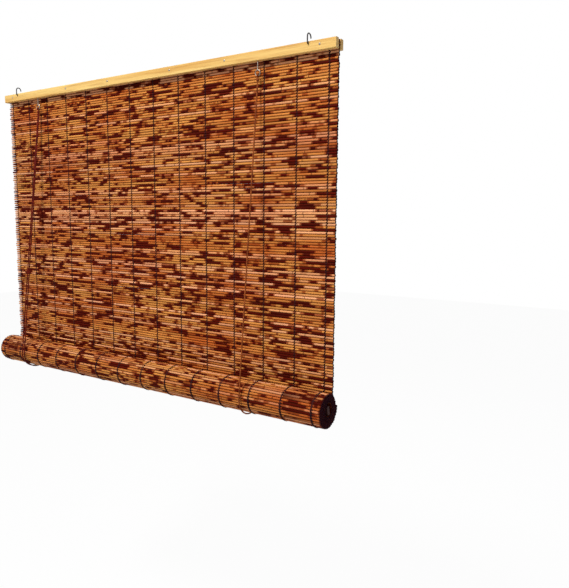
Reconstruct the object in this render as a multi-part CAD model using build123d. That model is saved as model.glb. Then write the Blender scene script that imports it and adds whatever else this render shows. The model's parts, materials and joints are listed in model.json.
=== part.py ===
from build123d import *
import math
import os

# Reed roll-up blind, partly lowered. Millimetres.
# X runs along the head rail, the front faces -Y, Z is up.
# The origin is the middle of the rear face of the rail's back batten.

# Mat
mat_width = 800.0
reed_size = 4.0             # across the flats
reed_gap = 0.2              # left by the thread's twist between two reeds
reed_flats = 8
reeds_in_band = 6
band_count = 21

# Warps
warp_spacing = 60.0
edge_warp_inset = 15.0      # from the reed ends to the outermost warps
second_warp_inset = 70.0    # from the reed ends to the next warps
strand_size = 1.0
strand_flats = 6

# Head rail
batten_height = 15.0
batten_depth = 8.0
batten_edge = 1.2
nail_count = 6
nail_beside = 12.0          # from a warp towards the middle of the rail
nail_diameter = 1.6
nail_head_diameter = 3.6
nail_head_height = 0.7
nail_level = 1.0            # above the middle of the battens
nail_grip = 5.0             # depth in the back batten

# Wire hooks
hook_inset = 46.0           # from the batten ends
hook_wire = 2.0             # across the flats
hook_bend = 2.4             # middle of the wire, from leg to shank
hook_leg_level = 4.0        # above the middle of the battens
hook_leg_depth = 7.4        # depth in the front batten
hook_rise = 10.0
hook_mouth = 8.0            # clear gap between shank and point
hook_point_drop = 1.5

# Lift cords
cord_diameter = 2.6         # across the flats
left_cord_warp = 3          # counted from the left edge
left_cord_beside = -20.0    # from that warp
left_cord_drift = -15.5     # its foot hangs this far aside of its eye
right_cord_warp = 3         # counted from the right edge
right_cord_beside = -8.0
left_strand_gap = 7.0       # between the two left strands where they cross the roll
knot_size = 6.2             # across the flats
knot_height = 5.4

# Screw eyes of the lift cords
eye_drop = 18.0             # batten's lower edge to the middle of the ring
eye_setback = 2.5           # front of the front batten to the middle of the ring
eye_radius = 4.5            # middle of the wire
eye_wire = 1.6
eye_stem = 2.0
eye_grip = 9.0              # depth in the front batten

# Roll
roll_radius = 27.0          # middle of the outermost turn
roll_skew = 7.0             # the roll has run out to the right of the mat
reed_press = 0.1            # neighbours in the roll press this far into each other
wound_strand_size = 1.2
wrap_spans = 18             # straight spans in a warp's turn round the roll
lath_width = 14.0
lath_thickness = 6.0
lath_edge = 1.5

# Small round pieces
fine_flats = 8              # nails, wires, cords and knots
knot_edge = 1.2

# Clearances
nail_clearance = 0.05
hook_clearance = 0.1
eye_clearance = 0.05
seat_gap = 0.3
cord_joint_gap = 0.15
cord_hole_clearance = 0.5
loop_clearance = 0.5        # between a cord's loop and the wire of its eye
wrap_gap = 0.1
cut_over = 1.0              # how far a bore's cutter runs past the wood

# Sizes, levels and planes that follow
reed_pitch = reed_size + reed_gap
wound_reed_size = reed_pitch + reed_press
turn_pitch = wound_reed_size + seat_gap
cord_hole_diameter = cord_diameter + 2 * cord_hole_clearance
loop_radius = cord_diameter / 2 + eye_wire / 2 + loop_clearance
batten_top = batten_height / 2
batten_bottom = -batten_height / 2
back_face_y = -batten_depth
mat_y = back_face_y - strand_size - reed_size / 2
front_face_y = mat_y - reed_size / 2 - strand_size
front_y = front_face_y - batten_depth
nail_to_reed = nail_diameter / 2 + seat_gap + reed_size / 2
top_reed_z = nail_level + nail_to_reed
second_reed_z = nail_level - nail_to_reed
first_hanging_z = second_reed_z - reed_pitch
roll_z = first_hanging_z - reed_pitch * reeds_in_band * band_count
roll_y = mat_y - roll_radius
sling_radius = roll_radius + wound_reed_size / 2 + seat_gap + cord_diameter / 2
lath_corner = math.hypot(lath_width / 2 - lath_edge, lath_thickness / 2 - lath_edge) + lath_edge
lath_reach = lath_corner + seat_gap
eye_y = front_y + eye_setback
eye_z = batten_bottom - eye_drop
loop_top_z = eye_z - eye_radius + eye_wire / 2 + seat_gap + cord_diameter / 2
loop_z = loop_top_z - loop_radius
knot_top_z = loop_z - loop_radius
knot_bottom_z = knot_top_z - knot_height
cord_hole_y = back_face_y / 2 - seat_gap


def flat_sided(across, flats, turn=0.0):
    """A many-sided section with a flat towards its local X, turned by an angle."""
    return RegularPolygon(across / 2, flats, major_radius=False, rotation=180 / flats + turn)


def along_x(section, length, middle=0.0):
    """A section drawn in Y and Z, drawn out along X about a middle."""
    return extrude(Plane.YZ.offset(middle - length / 2) * section, length)


def round_bar(start, end, diameter):
    """A round bar between two points."""
    path = Line(start, end)
    return extrude(Plane(path @ 0, z_dir=path % 0) * Circle(diameter / 2), path.length)


def fine_bar(start, end, across):
    """A thin bar between two points, with its flats level and upright."""
    path = Line(start, end)
    plane = Plane(path @ 0, x_dir=(1, 0, 0), z_dir=path % 0)
    return extrude(plane * flat_sided(across, fine_flats), path.length)


def fine_ring(radius, across):
    """A thin closed ring round Z."""
    return revolve(Plane.XZ * Pos(radius, 0) * flat_sided(across, fine_flats), Axis.Z)


def warp_places():
    """X of every warp: even across the mat, closer at both edges."""
    half = mat_width / 2
    inner_count = round(2 * (half - second_warp_inset) / warp_spacing) + 1
    inner = [warp_spacing * (i - (inner_count - 1) / 2) for i in range(inner_count)]
    return [edge_warp_inset - half] + inner + [half - edge_warp_inset]


def nail_places():
    """X of every nail: a little inside one of the warps, from edge to edge."""
    warps = warp_places()
    step = (len(warps) - 1) / (nail_count - 1)
    chosen = [warps[round(i * step)] for i in range(nail_count)]
    return [x - math.copysign(nail_beside, x) for x in chosen]


def left_strands(middle, spread):
    """X of the two strands of the left cord, at a spacing."""
    return [middle - spread / 2, middle + spread / 2]


def cord_feet():
    """X of the cords under the roll: two strands of the left one, one of the right."""
    return left_strands(left_cord_x + left_cord_drift, left_strand_gap) + [right_cord_x]


def hook_places():
    """X of the two hooks."""
    return [hook_inset - mat_width / 2, mat_width / 2 - hook_inset]


left_cord_x = warp_places()[left_cord_warp - 1] + left_cord_beside
right_cord_x = warp_places()[-right_cord_warp] + right_cord_beside


# Head rail
def batten(front, back):
    """A planed strip with eased edges between two planes."""
    section = Pos((front + back) / 2, 0) * RectangleRounded(back - front, batten_height, batten_edge)
    return along_x(section, mat_width)


def across_battens(x, z, across, front, back):
    """A thin bar along Y."""
    return fine_bar((x, front, z), (x, back, z), across)


def front_batten():
    """Bored for the nails, the hooks' legs and the eyes' screws."""
    strip = batten(front_y, front_face_y)
    nail_bore = nail_diameter + 2 * nail_clearance
    for x in nail_places():
        strip -= across_battens(x, nail_level, nail_bore, front_y - cut_over, front_face_y + cut_over)
    hook_bore = hook_wire + 2 * hook_clearance
    hook_end = front_y + hook_leg_depth + hook_clearance
    for x in hook_places():
        strip -= across_battens(x, hook_leg_level, hook_bore, front_y - cut_over, hook_end)
    eye_bore = eye_stem + 2 * eye_clearance
    eye_end = batten_bottom + eye_grip + eye_clearance
    for x in (left_cord_x, right_cord_x):
        strip -= fine_bar((x, eye_y, batten_bottom - cut_over), (x, eye_y, eye_end), eye_bore)
    return strip


def back_batten():
    """Bored for the nails' points and, from top to bottom, for the lift cords."""
    strip = batten(back_face_y, 0)
    nail_bore = nail_diameter + 2 * nail_clearance
    nail_end = back_face_y + nail_grip + nail_clearance
    for x in nail_places():
        strip -= across_battens(x, nail_level, nail_bore, back_face_y - cut_over, nail_end)
    for x in cord_feet():
        top = (x, cord_hole_y, batten_top + cut_over)
        bottom = (x, cord_hole_y, batten_bottom - cut_over)
        strip -= round_bar(top, bottom, cord_hole_diameter)
    return strip


def nails():
    """Round-headed nails through the front batten into the back one."""
    pieces = []
    for x in nail_places():
        shank = across_battens(x, nail_level, nail_diameter, front_y, back_face_y + nail_grip)
        head = across_battens(x, nail_level, nail_head_diameter, front_y - nail_head_height, front_y)
        pieces.append(shank + head)
    return pieces


def hook(x):
    """One bent wire: leg in the front batten, shank up before it, round crook over the rail."""
    shank_y = front_y - hook_bend - hook_clearance
    crook = (hook_mouth + hook_wire) / 2
    crook_z = hook_leg_level + hook_rise
    leg_end = (x, front_y + hook_leg_depth, hook_leg_level)
    corner = (x, shank_y, hook_leg_level)
    crook_start = (x, shank_y, crook_z)
    crook_top = (x, shank_y + crook, crook_z + crook)
    crook_end = (x, shank_y + 2 * crook, crook_z)
    point = (x, shank_y + 2 * crook, crook_z - hook_point_drop)
    path = FilletPolyline(leg_end, corner, crook_start, radius=hook_bend)
    path += ThreePointArc(crook_start, crook_top, crook_end)
    path += Line(crook_end, point)
    section = Plane(leg_end, x_dir=(1, 0, 0), z_dir=(0, -1, 0)) * flat_sided(hook_wire, fine_flats)
    return sweep(section, path=path)


def cord_eye(x):
    """Screw eye in the underside of the front batten; its ring faces the front."""
    ring = Pos(x, eye_y, eye_z) * Rot(90, 0, 0) * fine_ring(eye_radius, eye_wire)
    stem_foot = (x, eye_y, eye_z + eye_radius)
    stem_top = (x, eye_y, batten_bottom + eye_grip)
    return ring + fine_bar(stem_foot, stem_top, eye_stem)


# Mat
def reed(z):
    """One reed of the hanging mat."""
    return along_x(Pos(mat_y, z) * flat_sided(reed_size, reed_flats), mat_width)


def reed_band(first_z):
    """A few reeds one below the other."""
    return [reed(first_z - i * reed_pitch) for i in range(reeds_in_band)]


def warp(x):
    """The front and back threads of one warp, from the top reed to the roll."""
    top = top_reed_z + reed_size / 2
    thread = flat_sided(strand_size, strand_flats)
    second_turn = roll_radius - turn_pitch + wound_reed_size / 2 + wrap_gap + wound_strand_size
    to_front_strand = roll_radius - reed_size / 2 - strand_size - seat_gap
    pinch = math.sqrt(max(second_turn ** 2 - to_front_strand ** 2, 0)) + seat_gap
    reach = reed_size / 2 + strand_size / 2
    above_first_wound = wound_reed_size / 2 + seat_gap
    strands = []
    for y, bottom in ((mat_y - reach, roll_z + pinch), (mat_y + reach, roll_z + above_first_wound)):
        strands.append(Pos(x, 0, bottom) * extrude(Pos(0, y) * Rot(0, 0, 90) * thread, top - bottom))
    return strands


# Roll
def spiral_radius(angle):
    """Radius of the wound mat's middle, from the point where it leaves the hanging mat."""
    return roll_radius - turn_pitch * angle / (2 * math.pi)


def spiral_point(angle, outwards=0.0):
    """Y and Z on the spiral: it starts at the rear and runs down, forwards and up."""
    radius = spiral_radius(angle) + outwards
    return roll_y + radius * math.cos(angle), roll_z - radius * math.sin(angle)


def wound_reed_angles():
    """The angle of every reed of the roll, one reed pitch apart, in to the lath."""
    inner = lath_reach + wound_reed_size / 2
    angles = [seat_gap / roll_radius]
    while spiral_radius(angles[-1]) > inner:
        angles.append(angles[-1] + reed_pitch / spiral_radius(angles[-1]))
    return angles[:-1]


def reed_roll():
    """The wound mat, one strip of reeds that press into each other, as one solid."""
    reeds = []
    for angle in wound_reed_angles():
        turn = -math.degrees(angle)
        reeds.append(Pos(*spiral_point(angle)) * flat_sided(wound_reed_size, reed_flats, turn))
    return along_x(Sketch() + reeds, mat_width, roll_skew)


def roll_warps():
    """The warps on the outermost turn, up to where it slips behind the hanging mat."""
    inner = wound_reed_size / 2 + wrap_gap
    outer = inner + wound_strand_size
    clear = roll_radius - reed_size / 2 - strand_size - seat_gap
    last_radius = roll_radius - turn_pitch + outer
    end = 2 * math.pi - math.acos(clear / last_radius) - seat_gap / last_radius
    start = -wound_reed_size / 2 / roll_radius
    span = (end - start) / wrap_spans
    over = (roll_radius + inner) * (1 / math.cos(span / 2) - 1)
    angles = [start + span * i for i in range(wrap_spans + 1)]
    inside = [spiral_point(a, inner + over) for a in angles]
    outside = [spiral_point(a, outer + over) for a in reversed(angles)]
    band = make_face(Polyline(*inside, *outside, close=True))
    return [along_x(band, wound_strand_size, x + roll_skew) for x in warp_places()]


def bottom_lath():
    """The strip in the middle of the roll, its edge against the mat's last reed."""
    turn = Rot(0, 0, -math.degrees(wound_reed_angles()[-1]))
    section = Pos(roll_y, roll_z) * turn * RectangleRounded(lath_width, lath_thickness, lath_edge)
    return along_x(section, mat_width, roll_skew)


# Lift cords
def tangent_angle(y, z, side):
    """Angle on the sling's circle where a straight cord from a point meets it."""
    dy, dz = y - roll_y, z - roll_z
    return math.atan2(dz, dy) + side * math.acos(sling_radius / math.hypot(dy, dz))


def sling_point(angle):
    """Y and Z on the sling's circle."""
    return roll_y + sling_radius * math.cos(angle), roll_z + sling_radius * math.sin(angle)


front_angle = tangent_angle(eye_y, knot_bottom_z, 1)
back_angle = tangent_angle(cord_hole_y, batten_top, -1)


def front_strand(top_x, foot_x):
    """Straight cord from the front knot to the front of the roll."""
    foot = Vector(foot_x, *sling_point(front_angle))
    top = Vector(top_x, eye_y, knot_bottom_z)
    gap = (top - foot).normalized() * cord_joint_gap
    return fine_bar(top - gap, foot + gap, cord_diameter)


def back_strand(x):
    """Straight cord from its knot on the back batten, down behind the mat."""
    foot = Vector(x, *sling_point(back_angle))
    top = Vector(x, cord_hole_y, batten_top)
    gap = (top - foot).normalized() * cord_joint_gap
    return fine_bar(top - gap, foot + gap, cord_diameter)


def sling(x):
    """The cord's bight under the roll."""
    start = Pos(x, *sling_point(front_angle)) * Rot(math.degrees(front_angle), 0, 0)
    section = start * flat_sided(cord_diameter, fine_flats)
    sweep_degrees = math.degrees(back_angle - front_angle) % 360
    return revolve(section, Axis((x, roll_y, roll_z), (1, 0, 0)), sweep_degrees)


def knot(x, y, bottom):
    """A small barrel knot."""
    barrel = extrude(flat_sided(knot_size, fine_flats), knot_height)
    rims = barrel.edges().group_by(Axis.Z)
    return Pos(x, y, bottom) * chamfer(rims[0] + rims[-1], knot_edge)


def front_knot(x):
    """The cord tied through its eye: a loop and the knot that closes it."""
    loop = Pos(x, eye_y, loop_z) * Rot(0, 90, 0) * fine_ring(loop_radius, cord_diameter)
    return loop + knot(x, eye_y, knot_bottom_z)


# Every piece by its name
def blind():
    """Each node's solids."""
    feet = cord_feet()
    left_feet = feet[:-1]
    left_tops = left_strands(left_cord_x, cord_diameter)
    cord_places = (left_cord_x, right_cord_x)
    nodes = {
        "front_batten": [front_batten()],
        "back_batten": [back_batten()],
        "batten_nails": nails(),
        "hanging_hooks": [hook(x) for x in hook_places()],
        "cord_eyes": [cord_eye(x) for x in cord_places],
        "clamped_reeds": [reed(top_reed_z), reed(second_reed_z)],
        "reed_roll": [reed_roll()],
        "roll_warps": roll_warps(),
        "bottom_lath": [bottom_lath()],
        "front_knots": [front_knot(x) for x in cord_places],
        "back_knots": [knot(x, cord_hole_y, batten_top) for x in feet],
        "left_cord_front": [front_strand(a, b) for a, b in zip(left_tops, left_feet)],
        "right_cord_front": [front_strand(right_cord_x, right_cord_x)],
        "left_cord_back": [back_strand(x) for x in left_feet],
        "right_cord_back": [back_strand(right_cord_x)],
        "cord_slings": [sling(x) for x in feet],
    }
    for i in range(band_count):
        first_z = first_hanging_z - i * reeds_in_band * reed_pitch
        nodes[f"reed_band_{i + 1:02d}"] = reed_band(first_z)
    for i, x in enumerate(warp_places()):
        nodes[f"warp_{i + 1:02d}"] = warp(x)
    return nodes


os.makedirs("parts", exist_ok=True)
for name, solids in blind().items():
    whole = [piece for shape in solids for piece in shape.solids()]
    export_step(whole[0] if len(whole) == 1 else Compound(children=whole), f"parts/{name}.step")
print("warps at", warp_places())
print("roll middle", roll_y, roll_z, "wound reeds", len(wound_reed_angles()))
print("sling radius", sling_radius)
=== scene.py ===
import json
import math
import random

import bmesh
import bpy
import numpy as np
from mathutils import Matrix, Vector


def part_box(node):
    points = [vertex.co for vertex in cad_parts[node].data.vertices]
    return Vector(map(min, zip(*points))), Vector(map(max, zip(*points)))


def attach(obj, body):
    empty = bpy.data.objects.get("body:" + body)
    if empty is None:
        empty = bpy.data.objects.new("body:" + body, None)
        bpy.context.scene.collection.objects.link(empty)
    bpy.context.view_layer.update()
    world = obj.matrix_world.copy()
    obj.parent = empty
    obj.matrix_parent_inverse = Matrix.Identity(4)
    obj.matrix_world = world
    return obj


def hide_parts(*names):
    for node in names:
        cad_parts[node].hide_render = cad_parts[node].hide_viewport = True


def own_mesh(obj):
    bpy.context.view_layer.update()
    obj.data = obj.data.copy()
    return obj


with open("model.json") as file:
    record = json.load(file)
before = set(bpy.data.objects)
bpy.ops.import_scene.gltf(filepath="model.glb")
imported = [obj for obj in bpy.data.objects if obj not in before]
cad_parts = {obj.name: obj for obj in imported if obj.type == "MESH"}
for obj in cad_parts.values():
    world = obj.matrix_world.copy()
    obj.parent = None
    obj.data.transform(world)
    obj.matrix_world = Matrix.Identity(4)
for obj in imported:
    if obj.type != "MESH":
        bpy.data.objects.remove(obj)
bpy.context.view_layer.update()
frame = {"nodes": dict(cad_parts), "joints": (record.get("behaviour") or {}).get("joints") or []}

# metres; X along the rail, the front faces -Y, Z up
joints = {j["name"]: j for j in frame["joints"]}
rollY, rollZ = joints["roll_turn"]["pos_m"][1:]
liftTravel = joints["roll_lift"]["range_m"][1]


# small helpers

def clearSelection():
    bpy.ops.object.select_all(action="DESELECT")


def pick(obj):
    clearSelection()
    obj.select_set(True)
    bpy.context.view_layer.objects.active = obj


def named(name):
    obj = bpy.context.active_object
    obj.name = name
    obj.data.name = name
    return obj


def settle(obj):
    # the piece's place goes into its mesh
    pick(obj)
    bpy.ops.object.transform_apply(location=True, rotation=True, scale=True)
    return obj


def editFaces(obj, wanted):
    # edit mode with just these faces picked
    pick(obj)
    bpy.ops.object.mode_set(mode="EDIT")
    bpy.ops.mesh.select_mode(type="FACE")
    bpy.ops.mesh.select_all(action="DESELECT")
    cage = bmesh.from_edit_mesh(obj.data)
    for face in cage.faces:
        face.select_set(wanted(face))
    bmesh.update_edit_mesh(obj.data)


def editEdges(obj, wanted):
    pick(obj)
    bpy.ops.object.mode_set(mode="EDIT")
    bpy.ops.mesh.select_mode(type="EDGE")
    bpy.ops.mesh.select_all(action="DESELECT")
    cage = bmesh.from_edit_mesh(obj.data)
    for edge in cage.edges:
        edge.select_set(wanted(edge))
    bmesh.update_edit_mesh(obj.data)


def doneEditing():
    bpy.ops.object.mode_set(mode="OBJECT")


def copyOf(obj, name):
    twin = obj.copy()
    twin.data = obj.data.copy()
    twin.name = name
    bpy.context.scene.collection.objects.link(twin)
    return twin


def joined(objs, name):
    clearSelection()
    for obj in objs:
        obj.select_set(True)
    bpy.context.view_layer.objects.active = objs[0]
    if len(objs) > 1:
        bpy.ops.object.join()
    return named(name)


def pointsOf(obj):
    points = np.empty(len(obj.data.vertices) * 3)
    obj.data.vertices.foreach_get("co", points)
    return points.reshape(-1, 3)


def movePoints(obj, points):
    obj.data.vertices.foreach_set("co", np.ascontiguousarray(points).ravel())
    obj.data.update()


def roundOff(obj, angle=50):
    pick(obj)
    bpy.ops.object.shade_smooth_by_angle(angle=math.radians(angle))


def paint(obj, *materials):
    obj.data.materials.clear()
    for material in materials:
        obj.data.materials.append(material)


def discard(obj):
    bpy.data.objects.remove(obj)


def standsOf(node, apart=0.004):
    # (middle, width) along the rail of each separate solid of a CAD node
    xs = np.sort(pointsOf(frame["nodes"][node])[:, 0])
    groups = np.split(xs, np.flatnonzero(np.diff(xs) > apart) + 1)
    return [((g[0] + g[-1]) / 2, g[-1] - g[0]) for g in groups]


def tube(points, radius, name, sides=1, steps=4, section=None, tilts=None, tip=1.0):
    # a tube along a smooth line, as a mesh; a section and tilts make it a twisted one
    curve = bpy.data.curves.new(name, "CURVE")
    curve.dimensions = "3D"
    curve.resolution_u = steps
    if section:
        curve.bevel_mode = "OBJECT"
        curve.bevel_object = section
    else:
        curve.bevel_depth = radius
        curve.bevel_resolution = sides
    curve.use_fill_caps = True
    spline = curve.splines.new("NURBS")
    spline.points.add(len(points) - 1)
    for spot, point in zip(spline.points, points):
        spot.co = (*point, 1)
    spline.points[-1].radius = tip
    if tilts is not None:
        for spot, tilt in zip(spline.points, tilts):
            spot.tilt = tilt
    spline.order_u = 3
    spline.use_endpoint_u = True
    obj = bpy.data.objects.new(name, curve)
    bpy.context.scene.collection.objects.link(obj)
    pick(obj)
    bpy.ops.object.convert(target="MESH")
    bpy.ops.object.shade_smooth()
    return named(name)


# node helpers

def srgb(red, green, blue):
    # a colour picked on screen, 0 to 255
    def linear(value):
        share = value / 255
        return share / 12.92 if share <= 0.04045 else ((share + 0.055) / 1.055) ** 2.4
    return (linear(red), linear(green), linear(blue), 1)


class Tree:
    # a material and short ways to add its nodes
    def __init__(self, name):
        self.material = bpy.data.materials.new(name)
        self.material.use_nodes = True
        self.nodes = self.material.node_tree.nodes
        self.links = self.material.node_tree.links
        self.shader = self.nodes["Principled BSDF"]

    def add(self, kind, **settings):
        node = self.nodes.new("ShaderNode" + kind)
        for key, value in settings.items():
            setattr(node, key, value)
        return node

    def put(self, value, socket):
        if isinstance(value, bpy.types.NodeSocket):
            self.links.new(value, socket)
        else:
            socket.default_value = value

    def place(self):
        return self.add("TexCoord").outputs["Object"]

    def attribute(self, name):
        return self.add("Attribute", attribute_name=name).outputs["Fac"]

    def stretch(self, vector, scale):
        node = self.add("Mapping")
        self.put(vector, node.inputs["Vector"])
        node.inputs["Scale"].default_value = scale
        return node.outputs["Vector"]

    def noise(self, vector, scale=1.0, detail=2.0, rough=0.5):
        node = self.add("TexNoise")
        self.put(vector, node.inputs["Vector"])
        node.inputs["Scale"].default_value = scale
        node.inputs["Detail"].default_value = detail
        node.inputs["Roughness"].default_value = rough
        return node.outputs["Fac"]

    def sums(self, operation, first, second=0.0, third=0.0):
        node = self.add("Math", operation=operation)
        for value, socket in zip((first, second, third), node.inputs):
            self.put(value, socket)
        return node.outputs[0]

    def ramp(self, value, low, high, lowTo=0.0, highTo=1.0):
        node = self.add("MapRange")
        for one, socket in zip((value, low, high, lowTo, highTo), node.inputs):
            self.put(one, socket)
        return node.outputs[0]

    def drawn(self, seed, times):
        # another random share out of a reed's seed
        return self.sums("FRACT", self.sums("MULTIPLY", seed, times))

    def mix(self, share, first, second, way="MIX"):
        node = self.add("Mix", data_type="RGBA", blend_type=way)
        self.put(share, node.inputs["Factor"])
        self.put(first, node.inputs[6])
        self.put(second, node.inputs[7])
        return node.outputs[2]

    def bump(self, height, distance, strength=1.0):
        node = self.add("Bump")
        self.put(height, node.inputs["Height"])
        node.inputs["Distance"].default_value = distance
        node.inputs["Strength"].default_value = strength
        self.links.new(node.outputs["Normal"], self.shader.inputs["Normal"])


# camera, lamps and surroundings

cameraSet = {
    "place": (0.8134, -0.7959, -0.2524),
    "yaw": -32.70,          # degrees, turned from +Y
    "pitch": -7.11,
    "roll": 0.49,
    "lens": 36.12,
}


def cameraTurn(yaw, pitch, roll):
    level = math.cos(pitch)
    ahead = Vector((math.sin(yaw) * level, math.cos(yaw) * level, math.sin(pitch)))
    right = Vector((math.cos(yaw), -math.sin(yaw), 0))
    up = right.cross(ahead)
    right, up = (
        right * math.cos(roll) + up * math.sin(roll),
        up * math.cos(roll) - right * math.sin(roll),
    )
    return Matrix((right, up, -ahead)).transposed()


bpy.ops.object.camera_add()
camera = named("camera")
camera.location = cameraSet["place"]
cameraAngles = [math.radians(cameraSet[key]) for key in ("yaw", "pitch", "roll")]
camera.rotation_euler = cameraTurn(*cameraAngles).to_euler()
camera.data.lens = cameraSet["lens"]
bpy.context.scene.camera = camera

studio = {
    "floorLevel": -1.3,
    "floorSize": 14.0,
    "floorGrey": 0.9,
    "floorWhite": 0.96,      # how far the camera sees the floor as plain white
    "worldLight": 0.16,
    "lamps": [
        # name, place, size, watts
        ("keyLamp", (0.0, -1.6, 1.9), 0.5, 88),
        ("sideLamp", (1.7, -1.3, 0.3), 1.2, 7),
        ("backLamp", (0.3, 2.0, 1.0), 1.6, 22),
    ],
    "aim": (0, 0, -0.27),
}


def lightStudio():
    for name, place, size, watts in studio["lamps"]:
        bpy.ops.object.light_add(type="AREA", location=place)
        lamp = named(name)
        lamp.data.size = size
        lamp.data.energy = watts
        toAim = Vector(studio["aim"]) - Vector(place)
        lamp.rotation_euler = toAim.to_track_quat("-Z", "Y").to_euler()

    world = bpy.data.worlds.new("studioWorld")
    bpy.context.scene.world = world
    world.use_nodes = True
    nodes, links = world.node_tree.nodes, world.node_tree.links
    nodes.clear()
    path = nodes.new("ShaderNodeLightPath")
    total = path.outputs["Is Camera Ray"]
    for ray in ("Is Glossy Ray", "Is Transmission Ray"):
        more = nodes.new("ShaderNodeMath")
        more.operation = "ADD"
        more.use_clamp = True
        links.new(total, more.inputs[0])
        links.new(path.outputs[ray], more.inputs[1])
        total = more.outputs[0]
    soft, white = nodes.new("ShaderNodeBackground"), nodes.new("ShaderNodeBackground")
    soft.inputs["Color"].default_value = (1, 1, 1, 1)
    soft.inputs["Strength"].default_value = studio["worldLight"]
    white.inputs["Color"].default_value = (1, 1, 1, 1)
    white.inputs["Strength"].default_value = 1
    blend, out = nodes.new("ShaderNodeMixShader"), nodes.new("ShaderNodeOutputWorld")
    links.new(total, blend.inputs["Fac"])
    links.new(soft.outputs[0], blend.inputs[1])
    links.new(white.outputs[0], blend.inputs[2])
    links.new(blend.outputs[0], out.inputs["Surface"])


def layFloor():
    clearSelection()
    level = studio["floorLevel"]
    bpy.ops.mesh.primitive_plane_add(size=studio["floorSize"], location=(0, 0, level))
    floor = settle(named("floor"))
    tree = Tree("floorPaint")
    tree.shader.inputs["Base Color"].default_value = (*[studio["floorGrey"]] * 3, 1)
    tree.shader.inputs["Roughness"].default_value = 0.9
    glow = tree.add("Emission")
    path = tree.add("LightPath")
    share = tree.sums("MULTIPLY", path.outputs["Is Camera Ray"], studio["floorWhite"])
    blend = tree.add("MixShader")
    tree.links.new(share, blend.inputs["Fac"])
    tree.links.new(tree.shader.outputs[0], blend.inputs[1])
    tree.links.new(glow.outputs[0], blend.inputs[2])
    tree.links.new(blend.outputs[0], tree.nodes["Material Output"].inputs["Surface"])
    paint(floor, tree.material)


lightStudio()
layFloor()
bpy.context.scene.view_settings.view_transform = "Standard"
print("stage ready")


# reeds

reedLook = {
    "sides": 12,
    "rings": 39,              # between the two ends
    "press": 1.07,            # neighbours touch
    "wall": 0.0006,
    "hollow": 0.007,
    "nodes": (4, 6),          # joints on one reed
    "nodeSpots": (0.25, 0.75),    # where in its share of the reed a joint lies
    "nodeHalf": 0.0013,
    "nodeSwell": 1.10,
    "thickness": 0.985,       # of most reeds, as a share of the pattern's
    "taper": 0.04,            # one end thicker than the other
    "uneven": 0.0035,         # left ends cut short by up to this
    "trimmed": 0.0012,        # right ends
    "woundUneven": 0.0006,
    "outerRimShade": 0.0014,
    # painted shade on the wound reeds, in from their ends: the outer turns at the rim, the last
    # reeds further in round the lath
    "innerRimShade": 0.03,
    "rimShadeFade": 0.0008,
    "innerFrom": 0.7,         # the last reeds of the roll
    "bow": 0.00013,           # how far a reed strays up or down
    "waves": (0.5, 1.6),      # and how often along its length
    "thinEnd": 0.62,          # the left ends of the hanging reeds are thinner
    "thinSpread": (-0.08, 0.16),
    "thinFrom": 0.014,
    "sharing": 0.03,          # how often a reed is dyed like its neighbour
    "dyeStep": 0.0008,        # what such neighbours differ by
    "seed": 11,
}

# where the dyed stretches lie: a noise below the first value is fully dyed
reedDye = {
    "stretches": 24.0,        # along the reed, a metre
    "ownShare": 0.95,
    "sharedShare": 0.06,
    "dark": (0.440, 0.452),
    "brown": (0.478, 0.500),
    "brownMost": 0.85,
    "pinkHighlightMost": 0.62,
    "tones": (0.84, 1.14),    # darkest and lightest reed
    "gapShadeFrom": 0.5,           # painted shade, darker towards the next reed
    "gapShadeMost": 0.95,
    "jointAndRimShadeMost": 0.85,
}

# the reeds' colours
reedTint = {
    "straw": srgb(206, 134, 64),
    "honey": srgb(180, 90, 36),
    # painted highlight
    "pinkHighlight": srgb(244, 176, 134),
    # painted shade between neighbouring reeds
    "gap": srgb(66, 20, 6),
    "brown": srgb(134, 52, 12),
    "dark": srgb(92, 14, 1),
    "darker": srgb(56, 5, 0),
    # painted shade: the cut ends and the hollow insides are as dark as the roll's shaded end face
    "cut": srgb(50, 16, 30),
    "cutShadeDark": srgb(24, 6, 14),
}


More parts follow.
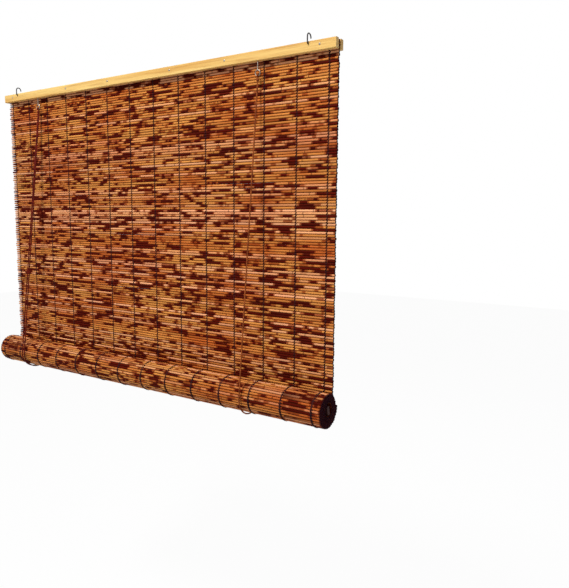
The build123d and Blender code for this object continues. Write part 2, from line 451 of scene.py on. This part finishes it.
def reedMaterial():
    tree = Tree("dyedReed")
    place = tree.place()
    seed = tree.attribute("reedSeed")
    node = tree.attribute("reedJointAndRimShade")
    gap = tree.attribute("reedGapShade")
    along = tree.add("SeparateXYZ")
    tree.put(place, along.inputs[0])
    # each reed's own dyed stretches, with sharp ends, more of them in some places
    ownPlace = tree.add("CombineXYZ")
    tree.put(tree.sums("MULTIPLY", along.outputs["X"], reedDye["stretches"]), ownPlace.inputs["X"])
    tree.put(tree.sums("MULTIPLY", seed, 400.0), ownPlace.inputs["Y"])
    own = tree.noise(ownPlace.outputs[0], 1.0, 2.0, 0.55)
    shared = tree.noise(tree.stretch(place, (9.0, 40.0, 40.0)), 1.0, 1.0, 0.5)
    own = tree.sums("MULTIPLY", own, reedDye["ownShare"])
    mixed = tree.sums("MULTIPLY_ADD", shared, reedDye["sharedShare"], own)
    darkShare = tree.ramp(mixed, *reversed(reedDye["dark"]))
    brownShare = tree.ramp(mixed, *reversed(reedDye["brown"]), 0.0, reedDye["brownMost"])
    # straw and honey between them, and pink on some reeds as a painted highlight
    drift = tree.noise(tree.stretch(place, (6.0, 25.0, 25.0)), 1.0, 3.0, 0.6)
    light = tree.mix(tree.ramp(drift, 0.38, 0.62), reedTint["straw"], reedTint["honey"])
    pinkHighlightShare = tree.ramp(tree.drawn(seed, 57.0), 0.5, 0.95, 0.0, reedDye["pinkHighlightMost"])
    light = tree.mix(pinkHighlightShare, light, reedTint["pinkHighlight"])
    light = tree.mix(brownShare, light, reedTint["brown"])
    fibre = tree.noise(tree.stretch(place, (22.0, 1500.0, 1500.0)), 1.0, 3.0, 0.6)
    deep = tree.mix(tree.ramp(fibre, 0.35, 0.65), reedTint["darker"], reedTint["dark"])
    colour = tree.mix(darkShare, light, deep)
    reedTone = tree.ramp(tree.drawn(seed, 131.0), 0.0, 1.0, *reedDye["tones"])
    streak = tree.sums("MULTIPLY", tree.ramp(fibre, 0.3, 0.7, 0.76, 1.16), reedTone)
    grey = tree.add("CombineColor")
    for socket in grey.inputs[:3]:
        tree.put(streak, socket)
    colour = tree.mix(1.0, colour, grey.outputs[0], "MULTIPLY")
    # painted shade darkens each reed where it turns towards its neighbour
    gapShadeShare = tree.ramp(gap, reedDye["gapShadeFrom"], 0.94, 0.0, reedDye["gapShadeMost"])
    colour = tree.mix(gapShadeShare, colour, reedTint["gap"])
    # dark joints, and painted shade at the ends of the wound reeds
    colour = tree.mix(tree.sums("MULTIPLY", node, reedDye["jointAndRimShadeMost"]), colour, reedTint["darker"])
    tree.put(colour, tree.shader.inputs["Base Color"])
    # the dyed stretches are dull
    lacquer = tree.ramp(fibre, 0.3, 0.7, 0.3, 0.48)
    tree.put(tree.sums("MULTIPLY_ADD", darkShare, 0.4, lacquer), tree.shader.inputs["Roughness"])
    tree.shader.inputs["IOR"].default_value = 1.3
    tree.shader.inputs["Specular IOR Level"].default_value = 0.12
    tree.bump(fibre, 0.00012, 0.6)
    return tree.material


def cutShadeMaterial():
    # reed ends and hollows painted dark as shade, with a faint grain
    tree = Tree("reedEndShade")
    grain = tree.noise(tree.stretch(tree.place(), (200.0, 2600.0, 2600.0)), 1.0, 2.0, 0.5)
    tint = tree.mix(tree.ramp(grain, 0.35, 0.65), reedTint["cut"], reedTint["cutShadeDark"])
    tree.put(tint, tree.shader.inputs["Base Color"])
    tree.shader.inputs["Roughness"].default_value = 0.85
    tree.shader.inputs["Specular IOR Level"].default_value = 0.05
    return tree.material


def modelReed(radius, length):
    # one hollow reed along X about the origin, with rings to bend it by
    clearSelection()
    bpy.ops.mesh.primitive_cylinder_add(
        vertices=reedLook["sides"], radius=radius, depth=length, rotation=(0, math.pi / 2, 0))
    reed = settle(named("reedPattern"))
    editEdges(reed, lambda e: abs(e.verts[0].co.x - e.verts[1].co.x) > length / 2)
    bpy.ops.mesh.subdivide(number_cuts=reedLook["rings"])
    doneEditing()
    editFaces(reed, lambda f: abs(f.normal.x) > 0.9)
    bpy.ops.mesh.inset(thickness=reedLook["wall"], depth=0)
    bpy.ops.mesh.inset(thickness=reedLook["wall"] / 4, depth=-reedLook["hollow"])
    doneEditing()
    paint(reed, reedPaint, cutShadePaint)
    # the cut ends and the hollow's inside take the painted shade of the end material
    inside = radius - reedLook["wall"] / 2
    for face in reed.data.polygons:
        if abs(face.normal.x) > 0.9 or math.hypot(face.center.y, face.center.z) < inside:
            face.material_index = 1
    return reed


def shapeReed(reed, length, rng, facing, wound, inner):
    # joints, taper, a slight bow and uneven ends; facing is the way to its neighbours
    # returns how near each point is to a joint and, in the roll, to the painted shade at its ends;
    # and how far it faces the next reed
    points = pointsOf(reed)
    rings = np.linspace(-length / 2, length / 2, reedLook["rings"] + 2)
    moved = rings.copy()
    swell = np.ones(len(rings))
    jointAndShadeRings = np.zeros(len(rings))
    count = rng.randint(*reedLook["nodes"])
    gap = length / count
    for i in range(count):
        spot = -length / 2 + gap * (i + rng.uniform(*reedLook["nodeSpots"]))
        k = int(np.clip(np.argmin(abs(rings - spot)), 2, len(rings) - 3))
        half = reedLook["nodeHalf"]
        moved[k - 1:k + 2] = spot - half, spot, spot + half
        swell[k] = reedLook["nodeSwell"]
        jointAndShadeRings[k] = 1
    moved[0] += rng.uniform(0, reedLook["woundUneven" if wound else "uneven"])
    moved[-1] -= rng.uniform(0, reedLook["woundUneven" if wound else "trimmed"])
    lean = rng.uniform(-1, 1) * reedLook["taper"]
    swell *= reedLook["thickness"] + lean * moved / length
    if wound:
        # flush ends with painted shade up to the rim, and further in round the lath, where the
        # roll's end lies in shade
        rimShade = reedLook["innerRimShade" if inner else "outerRimShade"]
        fade = rimShade + reedLook["rimShadeFade"]
        moved[1], moved[-2] = moved[0] + rimShade, moved[-1] - rimShade
        moved[2], moved[-3] = moved[0] + fade, moved[-1] - fade
        for k in (0, 1, -2, -1):
            swell[k] = jointAndShadeRings[k] = 1
        for k in (2, -3):
            swell[k], jointAndShadeRings[k] = 1, 0
    else:
        moved[1] = reedLook["thinFrom"] - length / 2
        swell[0] *= reedLook["thinEnd"] + rng.uniform(*reedLook["thinSpread"])
    wave = rng.uniform(*reedLook["waves"])
    phase = rng.uniform(0, 2 * math.pi)
    bow = reedLook["bow"] * np.sin(wave * 2 * math.pi * moved / length + phase)
    bow *= rng.uniform(0.3, 1)
    x = points[:, 0]
    size = np.interp(x, rings, swell)
    jointAndRimShade = np.interp(x, rings, jointAndShadeRings)
    turned = rng.uniform(0, 2 * math.pi)
    y, z = points[:, 1] * size, points[:, 2] * size
    y, z = y * math.cos(turned) - z * math.sin(turned), y * math.sin(turned) + z * math.cos(turned)
    nextTo = abs(y * facing[0] + z * facing[1]) / np.maximum(np.hypot(y, z), 1e-6)
    points[:, 1] = y
    points[:, 2] = z + np.interp(x, rings, bow)
    points[:, 0] = np.interp(x, rings, moved)
    movePoints(reed, points)
    return jointAndRimShade, nextTo


def markReed(reed, dye, jointAndRimShade, nextTo):
    seeds = np.full(len(reed.data.vertices), dye)
    for name, values in (("reedSeed", seeds), ("reedJointAndRimShade", jointAndRimShade), ("reedGapShade", nextTo)):
        attribute = reed.data.attributes.new(name, "FLOAT", "POINT")
        attribute.data.foreach_set("value", values.astype(np.float32))


def laidReeds(pattern, length, places, name, rng, facings=None):
    # copies of the pattern at (x, y, z) places, joined
    reeds = []
    dye = rng.random()
    for number, place in enumerate(places):
        if rng.random() > reedLook["sharing"]:
            dye = rng.random()
        dye += reedLook["dyeStep"]
        reed = copyOf(pattern, name + "Reed")
        facing = facings[number] if facings else (0, 1)
        inner = bool(facings) and number > len(places) * reedLook["innerFrom"]
        markReed(reed, dye, *shapeReed(reed, length, rng, facing, bool(facings), inner))
        movePoints(reed, pointsOf(reed) + np.array(place))
        reeds.append(reed)
    piece = joined(reeds, name)
    roundOff(piece)
    return piece


reedPaint, cutShadePaint = reedMaterial(), cutShadeMaterial()
matSet = {
    "reedsInBand": 6,
    "meeting": 0.0165,        # the raised mat meets the roll this far above its middle
}
reedsInBand = matSet["reedsInBand"]
bandLow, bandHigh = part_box("reed_band_02")
reedSize = bandHigh.y - bandLow.y
reedPitch = (bandHigh.z - bandLow.z - reedSize) / (reedsInBand - 1)
matY = (bandHigh.y + bandLow.y) / 2
matWidth = bandHigh.x - bandLow.x


def hangMat(rng):
    pattern = modelReed(reedPitch / 2 * reedLook["press"], matWidth)
    low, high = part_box("clamped_reeds")
    levels = [high.z - reedSize / 2, low.z + reedSize / 2]
    clamped = laidReeds(pattern, matWidth, [(0, matY, z) for z in levels], "clampedReeds", rng)
    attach(clamped, "head")
    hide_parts("clamped_reeds")
    bands = sorted(n for n in frame["nodes"] if n.startswith("reed_band"))
    for number, node in enumerate(bands, 1):
        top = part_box(node)[1].z - reedSize / 2
        places = [(0, matY, top - i * reedPitch) for i in range(reedsInBand)]
        band = laidReeds(pattern, matWidth, places, f"reedBand{number:02d}", rng)
        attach(band, "head")
        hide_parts(node)
        if number > 1:
            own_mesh(band)
    return pattern


# the roll

rollSet = {
    "turnPitch": 0.0046,      # from one turn to the next
    "lathReach": 0.0078,      # where the innermost reed meets the lath
    "woundSize": 0.0043,      # of a reed in the roll, across
    "firstReed": 0.0003,      # how far round the roll its first reed lies
    "warpRise": 1.2,          # the warps stand further out than on the hanging mat
}
rollLow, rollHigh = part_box("reed_roll")
rollSkew = (rollLow.x + rollHigh.x) / 2
rollRadius = matY - rollY


def spiralRadius(angle):
    return rollRadius - rollSet["turnPitch"] * angle / (2 * math.pi)


def spiralPoint(angle, outwards=0.0):
    radius = spiralRadius(angle) + outwards
    return rollY + radius * math.cos(angle), rollZ - radius * math.sin(angle)


def woundAngles():
    inner = rollSet["lathReach"] + rollSet["woundSize"] / 2
    angles = [rollSet["firstReed"] / rollRadius]
    while spiralRadius(angles[-1]) > inner:
        angles.append(angles[-1] + reedPitch / spiralRadius(angles[-1]))
    return angles[:-1]


def windRoll(pattern, rng):
    angles = woundAngles()
    places = [(rollSkew, *spiralPoint(a)) for a in angles]
    facings = [(math.sin(a), math.cos(a)) for a in angles]
    roll = laidReeds(pattern, matWidth, places, "reedRoll", rng, facings)
    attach(roll, "roll")
    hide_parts("reed_roll")


matRng = random.Random(reedLook["seed"])
reedPattern = hangMat(matRng)
print("mat hung")
windRoll(reedPattern, matRng)
discard(reedPattern)
print("roll wound")


# warp threads

warpLook = {
    "strand": 0.00075,        # radius
    "spread": 1.95,           # a strand lies flat on the reeds, so it is wider than thick
    "sway": 0.0007,           # where the two strands pass each other
    "hug": 0.5,               # how closely a strand follows the reed it passes
    "perReed": 4,             # points of the line from one reed to the next
    "tint": srgb(34, 12, 16),
    "worn": srgb(66, 26, 24),
}


def threadMaterial():
    tree = Tree("tarredThread")
    place = tree.place()
    fuzz = tree.noise(place, 2600.0, 3.0, 0.7)
    fade = tree.noise(place, 60.0, 2.0, 0.5)
    tint = tree.mix(tree.ramp(fade, 0.4, 0.7), warpLook["tint"], warpLook["worn"])
    tree.put(tint, tree.shader.inputs["Base Color"])
    tree.shader.inputs["Roughness"].default_value = 0.8
    tree.shader.inputs["Specular IOR Level"].default_value = 0.1
    tree.bump(fuzz, 0.0003, 0.8)
    return tree.material


def twinedPoints(reedCount, side):
    # one strand of a twined pair; it passes before one reed and behind the next
    points = []
    for i in range(reedCount * warpLook["perReed"] + 1):
        s = i / warpLook["perReed"] - 0.5
        swing = math.cos(math.pi * s)
        bulge = math.copysign(abs(swing) ** warpLook["hug"], swing)
        sway = warpLook["sway"] * math.sin(math.pi * s)
        points.append((s, side * bulge * warpReach, side * sway))
    return points


def warpStrands(name, reedCount, toPlace):
    pair = []
    for side in (-1, 1):
        line = [toPlace(*point) for point in twinedPoints(reedCount, side)]
        pair.append(tube(line, warpLook["strand"], name + "Strand", sides=0, steps=1))
    warp = joined(pair, name)
    movePoints(warp, pointsOf(warp) * (warpLook["spread"], 1, 1))
    return warp


threadPaint = threadMaterial()
warpNodes = sorted(n for n in frame["nodes"] if n.startswith("warp_"))
warpPlaces = [(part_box(n)[0].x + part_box(n)[1].x) / 2 for n in warpNodes]
firstFolding = bandHigh.z - reedSize / 2      # middle of the first reed that gathers
warpLow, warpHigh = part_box(warpNodes[0])
warpReach = (warpHigh.y - warpLow.y) / 2 - warpLook["strand"]


def twineMat():
    topReeds = reedsInBand + 1
    lowReeds = round((firstFolding - rollZ) / reedPitch)

    def above(s, y, x):
        return (x, matY + y, firstFolding + (topReeds - s) * reedPitch)

    def below(s, y, x):
        return (x, matY + y, firstFolding - s * reedPitch)

    topPattern = warpStrands("topPattern", topReeds + 1, above)
    lowPattern = warpStrands("lowPattern", lowReeds, below)
    tops = []
    for number, (node, x) in enumerate(zip(warpNodes, warpPlaces), 1):
        top = copyOf(topPattern, "warpTop")
        movePoints(top, pointsOf(top) + np.array((x, 0, 0)))
        tops.append(top)
        low = copyOf(lowPattern, f"warp{number:02d}")
        movePoints(low, pointsOf(low) + np.array((x, 0, 0)))
        paint(low, threadPaint)
        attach(low, "head")
        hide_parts(node)
        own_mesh(low)
    allTops = joined(tops, "warpTops")
    paint(allTops, threadPaint)
    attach(allTops, "head")
    discard(topPattern)
    discard(lowPattern)


def twineRoll():
    reedCount = int(2 * math.pi * rollRadius / reedPitch) - 3

    def around(s, y, x):
        angle = s * reedPitch / rollRadius
        side = -y * rollSet["warpRise"]
        return (x, *spiralPoint(angle, max(side, reedSize / 3)))     # the inner side stays hidden

    pattern = warpStrands("rollPattern", reedCount, around)
    hoops = []
    for x in warpPlaces:
        hoop = copyOf(pattern, "hoop")
        movePoints(hoop, pointsOf(hoop) + np.array((x + rollSkew, 0, 0)))
        hoops.append(hoop)
    discard(pattern)
    allHoops = joined(hoops, "rollWarps")
    paint(allHoops, threadPaint)
    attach(allHoops, "roll")
    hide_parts("roll_warps")


twineMat()
twineRoll()
print("warps twined")


# battens and lath keep their CAD shape

woodLook = {
    "pale": srgb(228, 192, 117),
    "mid": srgb(206, 158, 84),
    "line": srgb(150, 92, 38),
    # the lath's colours are painted shade, dark like the roll's shaded end face, with a grain
    "lathShadePale": srgb(62, 26, 20),
    "lathShadeMid": srgb(44, 16, 16),
    "lathShadeLine": srgb(26, 9, 11),
}


def woodMaterial(name, pale, mid, line):
    tree = Tree(name)
    place = tree.place()
    broad = tree.noise(tree.stretch(place, (2.5, 90.0, 90.0)), 1.0, 3.0, 0.6)
    fine = tree.noise(tree.stretch(place, (14.0, 900.0, 900.0)), 1.0, 4.0, 0.65)
    colour = tree.mix(tree.ramp(broad, 0.35, 0.65), pale, mid)
    colour = tree.mix(tree.ramp(fine, 0.52, 0.7, 0.0, 0.6), colour, line)
    tree.put(colour, tree.shader.inputs["Base Color"])
    tree.put(tree.ramp(fine, 0.3, 0.7, 0.5, 0.68), tree.shader.inputs["Roughness"])
    tree.shader.inputs["Specular IOR Level"].default_value = 0.2
    tree.bump(fine, 0.00015, 0.5)
    return tree.material


battenPaint = woodMaterial("planedBatten", woodLook["pale"], woodLook["mid"], woodLook["line"])
lathShadeTints = (woodLook["lathShadePale"], woodLook["lathShadeMid"], woodLook["lathShadeLine"])
# the lath is painted dark as shade
lathShadePaint = woodMaterial("shadedLath", *lathShadeTints)
for node in ("front_batten", "back_batten"):
    paint(frame["nodes"][node], battenPaint)
paint(frame["nodes"]["bottom_lath"], lathShadePaint)
print("battens grained")

# hooks, nails and screw eyes

fittingLook = {
    "hookCrook": 0.005,       # radius of the crook's middle line
    "hookOut": 1.01,          # its points lie this much further out
    "hookDrop": 0.0015,       # the point hangs this far below the crook's middle
    "hookLeg": 0.006,         # how deep the leg sits in the batten
    "hookTip": 0.65,
    "nailHead": 0.0018,
    "nailShank": 0.44,        # as a share of the head
    "nailDome": 0.0007,
    "eyeWire": 0.0008,
    "eyeStem": 0.001,
    "eyeThread": 0.00022,
    "eyeThreadTurns": 5,
    "eyeThreadPitch": 0.0009,
    "black": srgb(30, 27, 28),
    "wornBlack": srgb(88, 82, 78),
    "zinc": srgb(158, 150, 140),
    "dullZinc": srgb(108, 98, 88),
    "nailGrey": srgb(150, 146, 140),
    "rust": srgb(120, 78, 48),
}


def metalMaterial(name, clean, worn, low, high, rough, metallic):
    tree = Tree(name)
    place = tree.place()
    cloud = tree.noise(place, 420.0, 3.0, 0.6)
    scratch = tree.noise(place, 2400.0, 2.0, 0.5)
    tint = tree.mix(tree.ramp(cloud, low, high), clean, worn)
    tree.put(tint, tree.shader.inputs["Base Color"])
    dull = tree.ramp(scratch, 0.3, 0.7, rough - 0.08, rough + 0.12)
    tree.put(dull, tree.shader.inputs["Roughness"])
    tree.shader.inputs["Metallic"].default_value = metallic
    tree.bump(scratch, 0.00006, 0.4)
    return tree.material


def finishFitting(parts, name, node, material):
    piece = joined(parts, name)
    paint(piece, material)
    roundOff(piece)
    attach(piece, "head")
    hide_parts(node)


def bendHooks():
    # one wire each: leg, shank before the rail, open crook
    low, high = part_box("hanging_hooks")
    crook = fittingLook["hookCrook"]
    outside = crook * fittingLook["hookOut"]
    hooks = []
    for x, thick in standsOf("hanging_hooks"):
        wire = thick / 2
        shankY, legZ = low.y + wire, low.z + wire
        middleY, middleZ = shankY + crook, high.z - wire - crook
        bend = 3 * wire
        path = [(railFront + fittingLook["hookLeg"], legZ), (shankY + bend, legZ),
                (shankY, legZ), (shankY, legZ + bend), (shankY, middleZ)]
        for degrees in range(157, 0, -22):
            turn = math.radians(degrees)
            path.append((middleY + outside * math.cos(turn), middleZ + outside * math.sin(turn)))
        path += [(middleY + crook, middleZ), (middleY + crook, middleZ - fittingLook["hookDrop"])]
        line = [(x, y, z) for y, z in path]
        hooks.append(tube(line, wire, "hook", sides=3, steps=6, tip=fittingLook["hookTip"]))
    tints = (fittingLook["black"], fittingLook["wornBlack"])
    black = metalMaterial("blackenedWire", *tints, 0.55, 0.8, 0.36, 0.6)
    finishFitting(hooks, "hangingHooks", "hanging_hooks", black)


def driveNails():
    # a shank with a low domed head
    low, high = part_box("batten_nails")
    level = (low.z + high.z) / 2
    wide = fittingLook["nailHead"]
    nails = []
    for x, width in standsOf("batten_nails"):
        clearSelection()
        bpy.ops.mesh.primitive_cylinder_add(
            vertices=16, radius=wide * fittingLook["nailShank"], depth=high.y - railFront,
            location=(x, (high.y + railFront) / 2, level), rotation=(math.pi / 2, 0, 0))
        shank = settle(named("nailShank"))
        bpy.ops.mesh.primitive_uv_sphere_add(
            segments=20, ring_count=10, radius=1, location=(x, railFront, level),
            rotation=(math.pi / 2, 0, 0), scale=(wide, wide, fittingLook["nailDome"]))
        head = settle(named("nailHead"))
        nails += [shank, head]
    tints = (fittingLook["nailGrey"], fittingLook["rust"])
    grey = metalMaterial("nailSteel", *tints, 0.5, 0.75, 0.4, 0.8)
    finishFitting(nails, "battenNails", "batten_nails", grey)


def turnEyes():
    # ring, shoulder, stem and the thread that shows below the wood
    low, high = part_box("cord_eyes")
    wire, stem = fittingLook["eyeWire"], fittingLook["eyeStem"]
    y = (low.y + high.y) / 2
    eyes = []
    for x, width in standsOf("cord_eyes"):
        major = width / 2 - wire
        ringZ = low.z + width / 2
        clearSelection()
        bpy.ops.mesh.primitive_torus_add(
            major_segments=40, minor_segments=12, major_radius=major, minor_radius=wire,
            location=(x, y, ringZ), rotation=(math.pi / 2, 0, 0))
        ring = settle(named("eyeRing"))
        clearSelection()
        bpy.ops.mesh.primitive_cylinder_add(
            vertices=20, radius=stem * 0.8, depth=high.z - ringZ - major,
            location=(x, y, (high.z + ringZ + major) / 2))
        shaft = settle(named("eyeShaft"))
        clearSelection()
        bpy.ops.mesh.primitive_cone_add(
            vertices=20, radius1=stem * 1.15, radius2=stem * 0.8, depth=stem * 2,
            location=(x, y, ringZ + major + stem))
        shoulder = settle(named("eyeShoulder"))
        pitch, turns = fittingLook["eyeThreadPitch"], fittingLook["eyeThreadTurns"]
        start = railBottom - pitch * (turns - 0.5)
        around = stem * 0.86
        line = []
        for k in range(turns * 12 + 1):
            turn = k * math.pi / 6
            level = start + pitch * k / 12
            line.append((x + around * math.cos(turn), y + around * math.sin(turn), level))
        thread = tube(line, fittingLook["eyeThread"], "eyeThread", steps=2)
        eyes += [ring, shaft, shoulder, thread]
    tints = (fittingLook["zinc"], fittingLook["dullZinc"])
    zinc = metalMaterial("dullZinc", *tints, 0.4, 0.65, 0.38, 0.9)
    finishFitting(eyes, "cordEyes", "cord_eyes", zinc)


railLow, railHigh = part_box("front_batten")
railFront, railBottom = railLow.y, railLow.z
bendHooks()
driveNails()
turnEyes()
print("fittings made")


# lift cords, laid up of three yarns

cordLook = {
    "groove": 0.17,           # how deep the yarns' grooves are, as a share of the radius
    "lay": 0.0095,            # length of one full twist
    "ring": 0.0009,           # from one ring of the mesh to the next
    "span": 0.02,             # from one point of a straight line to the next
    "knotTurns": 2.25,
    "overRoll": (92, 112, 132, 150, 164),    # where the raised strand bends over the roll
    "overGap": 0.0004,
    "slingSpans": 16,
    "slingOut": 1.004,        # a smooth line cuts inside its points, so these lie further out
    "loopOut": 1.03,
    "red": srgb(112, 26, 12),
    "darkRed": srgb(66, 10, 6),
    "tan": srgb(158, 82, 36),
    "darkTan": srgb(104, 46, 18),
}


def cordMaterial(name, light, dark):
    tree = Tree(name)
    place = tree.place()
    fuzz = tree.noise(place, 3200.0, 3.0, 0.7)
    fade = tree.noise(place, 140.0, 2.0, 0.5)
    tint = tree.mix(tree.ramp(tree.sums("ADD", fuzz, fade), 0.85, 1.15), light, dark)
    tree.put(tint, tree.shader.inputs["Base Color"])
    tree.shader.inputs["Roughness"].default_value = 0.8
    tree.shader.inputs["Specular IOR Level"].default_value = 0.15
    tree.bump(fuzz, 0.0003, 0.7)
    return tree.material


def yarnSection(radius):
    # the three yarns seen end on
    curve = bpy.data.curves.new("yarnSection", "CURVE")
    spline = curve.splines.new("POLY")
    corners = 9
    spline.points.add(corners - 1)
    for k, spot in enumerate(spline.points):
        turn = 2 * math.pi * k / corners
        reach = radius * (1 - cordLook["groove"] * (k % 3 == 0))
        spot.co = (reach * math.cos(turn), reach * math.sin(turn), 0, 1)
    spline.use_cyclic_u = True
    section = bpy.data.objects.new("yarnSection", curve)
    bpy.context.scene.collection.objects.link(section)
    return section


def layCord(line, name, before=0.0):
    # a laid cord along a line of points; before is the length of cord that led up to it
    lengths = [before]
    for a, b in zip(line, line[1:]):
        lengths.append(lengths[-1] + math.dist(a, b))
    tilts = [2 * math.pi * far / cordLook["lay"] for far in lengths]
    steps = max(2, round((lengths[-1] - before) / cordLook["ring"] / (len(line) - 1)))
    return tube(line, cordRadius, name, steps=steps, section=yarns, tilts=tilts)


def straightLine(start, end):
    count = max(3, round(math.dist(start, end) / cordLook["span"]))
    return [tuple(Vector(start).lerp(Vector(end), k / count)) for k in range(count + 1)]


def barrelKnot(x, y, bottom, top, name):
    # the cord wound round itself, both ends tucked in
    around = knotWidth / 2 - cordRadius
    line = [(x, y, top - cordRadius / 2)]
    count = round(cordLook["knotTurns"] * 12)
    for k in range(count + 1):
        turn = k * math.pi / 6
        level = top - cordRadius - (top - bottom - 2 * cordRadius) * k / count
        line.append((x + around * math.cos(turn), y + around * math.sin(turn), level))
    line.append((x, y, bottom + cordRadius / 2))
    return layCord(line, name)


def finishCord(parts, name, node, material):
    # the strands joined into one painted piece on the head, with a mesh of its own
    piece = joined(parts, name)
    paint(piece, material)
    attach(piece, "head")
    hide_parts(node)
    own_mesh(piece)


def frontSpans():
    # (share from, share to, anchor, keep) of each length of a front strand; each gathers
    # by its own amount, so that the raised strand lies over the roll, not through it
    (topY, topZ), (footY, footZ) = frontTop, frontFoot
    length = topZ - footZ
    shares, raised = [0.0], [0.0]
    clear = slingReach + cordLook["overGap"]
    for degrees in cordLook["overRoll"]:
        turn = math.radians(degrees)
        shares.append((topY - rollY - clear * math.cos(turn)) / (topY - footY))
        raised.append(topZ - rollZ - liftTravel - clear * math.sin(turn))
    shares.append(1.0)
    raised.append(length - liftTravel)
    spans = []
    for k in range(len(shares) - 1):
        near, far = shares[k] * length - raised[k], shares[k + 1] * length - raised[k + 1]
        slope = (far - near) / ((shares[k + 1] - shares[k]) * length)
        anchor = topZ - shares[k] * length + near / slope
        spans.append((shares[k], shares[k + 1], anchor, 1 - slope))
    return spans


rightLow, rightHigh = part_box("right_cord_front")
backLow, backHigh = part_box("right_cord_back")
cordRadius = (rightHigh.x - rightLow.x) / 2
backKnotsApart = 0.0005   # two of them lie close together
knotWidth = standsOf("back_knots", backKnotsApart)[0][1]
knotLow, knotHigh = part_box("back_knots")
knotHeight = knotHigh.z - knotLow.z
frontTop = (rightHigh.y - cordRadius, rightHigh.z)
frontFoot = (rightLow.y + cordRadius, rightLow.z)
backTop = (backHigh.y - cordRadius, backHigh.z)
backFoot = (backLow.y + cordRadius, backLow.z)
slingReach = math.hypot(frontFoot[0] - rollY, frontFoot[1] - rollZ)
yarns = yarnSection(cordRadius)
redCord = cordMaterial("redCord", cordLook["red"], cordLook["darkRed"])
tanCord = cordMaterial("tanCord", cordLook["tan"], cordLook["darkTan"])


def hangCords():
    feet = [x for x, width in standsOf("cord_slings")]
    leftFeet, rightFoot = feet[:2], feet[2]
    knotPlaces = [x for x, width in standsOf("front_knots")]
    leftTops = [knotPlaces[0] - cordRadius, knotPlaces[0] + cordRadius]

    def strand(topX, footX, top, foot, start=0.0, end=1.0):
        whole = [Vector((topX, *top)), Vector((footX, *foot))]
        line = straightLine(whole[0].lerp(whole[1], start), whole[0].lerp(whole[1], end))
        return layCord(line, "strand", (whole[1] - whole[0]).length * start)

    for number, (start, end, anchorZ, keep) in enumerate(frontSpans(), 1):
        left = [strand(a, b, frontTop, frontFoot, start, end) for a, b in zip(leftTops, leftFeet)]
        finishCord(left, f"leftCordFront{number}", "left_cord_front", redCord)
        right = [strand(rightFoot, rightFoot, frontTop, frontFoot, start, end)]
        finishCord(right, f"rightCordFront{number}", "right_cord_front", tanCord)
    keep = 1 - liftTravel / (backTop[1] - backFoot[1])
    left = [strand(x, x, backTop, backFoot) for x in leftFeet]
    finishCord(left, "leftCordBack", "left_cord_back", redCord)
    right = [strand(rightFoot, rightFoot, backTop, backFoot)]
    finishCord(right, "rightCordBack", "right_cord_back", tanCord)


def slingCords():
    # under the roll from the front strand to the back one
    start = math.atan2(frontFoot[1] - rollZ, frontFoot[0] - rollY)
    end = math.atan2(backFoot[1] - rollZ, backFoot[0] - rollY)
    if start < 0:
        start += 2 * math.pi
    end += 2 * math.pi
    spans = cordLook["slingSpans"]
    slings = []
    for x, width in standsOf("cord_slings"):
        line = []
        for k in range(spans + 1):
            turn = start + (end - start) * k / spans
            out = slingReach * (cordLook["slingOut"] if 0 < k < spans else 1)
            line.append((x, rollY + out * math.cos(turn), rollZ + out * math.sin(turn)))
        slings.append(layCord(line, "sling"))
    paint(slings[0], redCord)
    paint(slings[1], redCord)
    paint(slings[2], tanCord)
    piece = joined(slings, "cordSlings")
    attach(piece, "sling")
    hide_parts("cord_slings")


def tieKnots():
    # the front ones hang by a loop in their eye, the back ones sit on the batten
    low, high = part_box("front_knots")
    y = (low.y + high.y) / 2
    knotTop = low.z + knotHeight
    knots = []
    for x, width in standsOf("front_knots"):
        around = ((high.z - knotTop) / 2 - cordRadius) * cordLook["loopOut"]
        middle = (high.z + knotTop) / 2
        line = []
        for k in range(19):
            turn = math.radians(-90 + 20 * k)
            line.append((x, y + around * math.cos(turn), middle + around * math.sin(turn)))
        loop = layCord(line, "loop")
        barrel = barrelKnot(x, y, low.z, knotTop, "barrel")
        material = redCord if x < 0 else tanCord
        for part in (loop, barrel):
            paint(part, material)
        knots += [loop, barrel]
    piece = joined(knots, "frontKnots")
    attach(piece, "head")
    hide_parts("front_knots")
    low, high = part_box("back_knots")
    knots = []
    for x, width in standsOf("back_knots", backKnotsApart):
        barrel = barrelKnot(x, (low.y + high.y) / 2, low.z, high.z, "barrel")
        paint(barrel, redCord if x < 0 else tanCord)
        knots.append(barrel)
    piece = joined(knots, "backKnots")
    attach(piece, "head")
    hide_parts("back_knots")


hangCords()
slingCords()
tieKnots()
discard(yarns)
print("cords laid")
